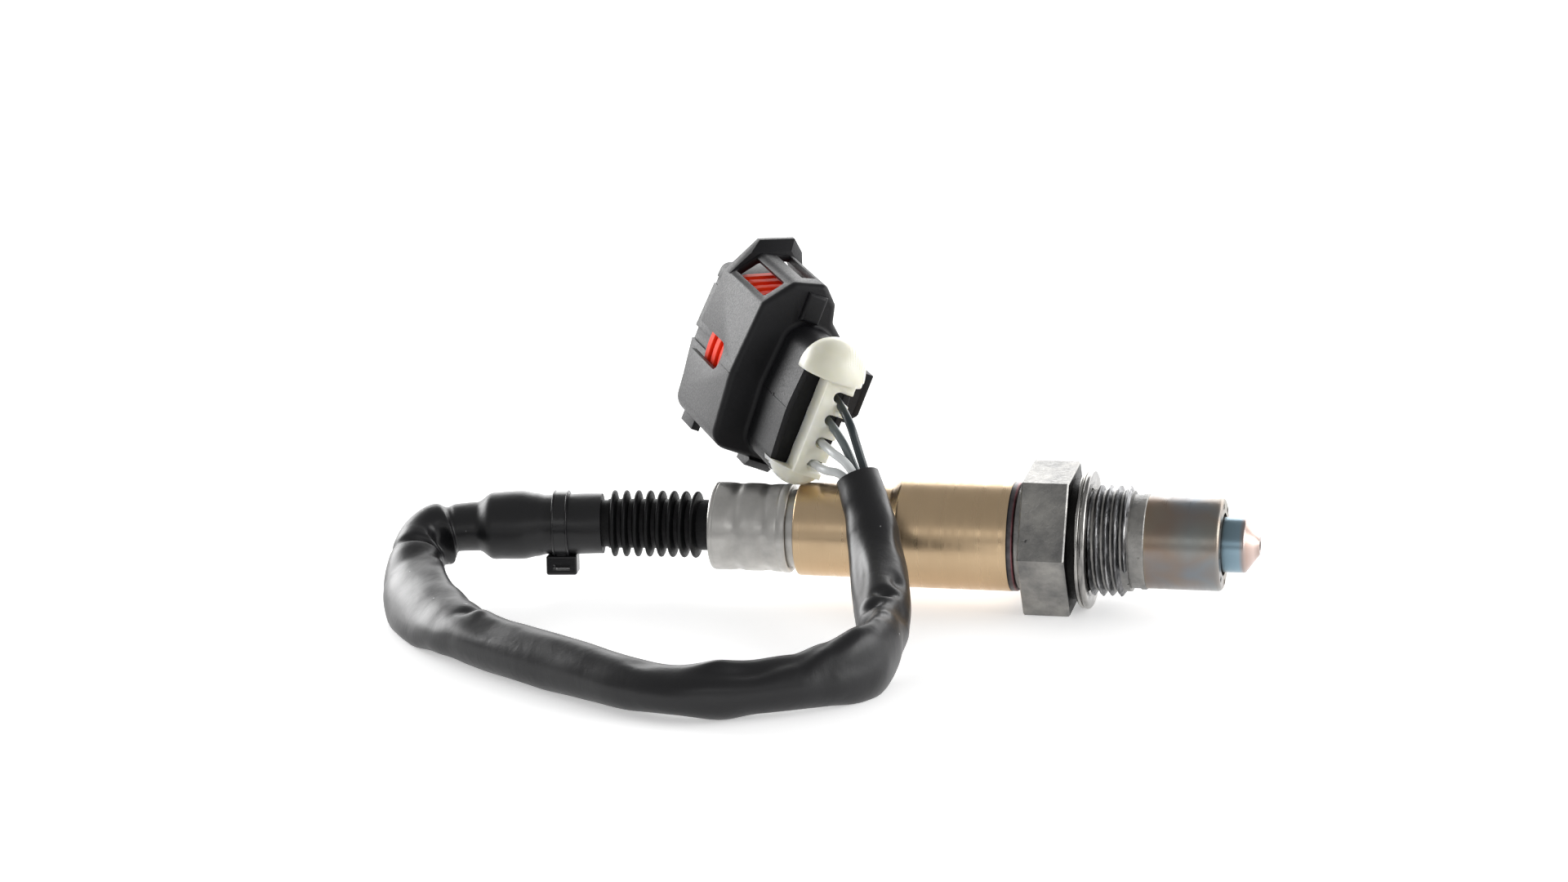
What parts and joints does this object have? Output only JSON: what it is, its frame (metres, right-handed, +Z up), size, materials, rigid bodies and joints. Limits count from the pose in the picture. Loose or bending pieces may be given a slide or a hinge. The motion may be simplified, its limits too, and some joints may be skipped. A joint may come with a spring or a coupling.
{
  "type": "oxygen sensor",
  "caption": "Threaded exhaust oxygen sensor with bellows boot, sleeved lead looped back to a shrouded plug with red seal and ivory wire comb.",
  "frame": {"origin": "on the sensor's axis in the plane of the sealing gasket's front face", "axes": "+X along the sensor's axis towards its nose, +Z up from the flat of the hexagon that it lies on"},
  "size_m": [0.1393, 0.1118, 0.0505],
  "materials": {
    "hex_steel": "dark pitted steel",
    "gasket_steel": "bright",
    "tube_steel": "heat tinted satin",
    "inner_tube_steel": "satin",
    "zirconia": "matte",
    "steatite": "matte",
    "packing": "matte",
    "bright_steel": "satin",
    "bronze_steel": "satin, fine turned grain",
    "weld_steel": "dark",
    "ferrule_steel": "satin",
    "holder_plastic": "matte",
    "boot_rubber": "matte",
    "sleeve_plastic": "satin",
    "tie_plastic": "satin",
    "connector_plastic": "fine grain",
    "seal_rubber": "glossy",
    "mat_rubber": "matte",
    "comb_plastic": "translucent",
    "black_insulation": "satin",
    "grey_insulation": "satin",
    "white_insulation": "satin",
    "contact_metal": "bright"
  },
  "bodies": {
    "root": {"bellows_boot": "boot_rubber", "cable_sleeve": "sleeve_plastic", "cable_tie": "tie_plastic", "captive_gasket": "gasket_steel", "connector_housing": "connector_plastic", "contact_holder": "holder_plastic", "contact_spring_1": "contact_metal", "contact_spring_2": "contact_metal", "contact_spring_3": "contact_metal", "contact_spring_4": "contact_metal", "crimp_ferrule": "ferrule_steel", "front_ceramic_bush": "steatite", "inner_protection_tube": "inner_tube_steel", "interface_seal": "seal_rubber", "outer_protection_tube": "tube_steel", "outer_sleeve": "bronze_steel", "packing_ring": "packing", "rear_ceramic_bush": "steatite", "retaining_ring": "bright_steel", "sensing_element": "zirconia", "sensor_housing": "hex_steel", "terminal_1": "contact_metal", "terminal_2": "contact_metal", "terminal_3": "contact_metal", "terminal_4": "contact_metal", "weld_bead": "weld_steel", "wire_black": "black_insulation", "wire_comb": "comb_plastic", "wire_grey": "grey_insulation", "wire_mat_seal": "mat_rubber", "wire_white_1": "white_insulation", "wire_white_2": "white_insulation"}
  },
  "joints": []
}
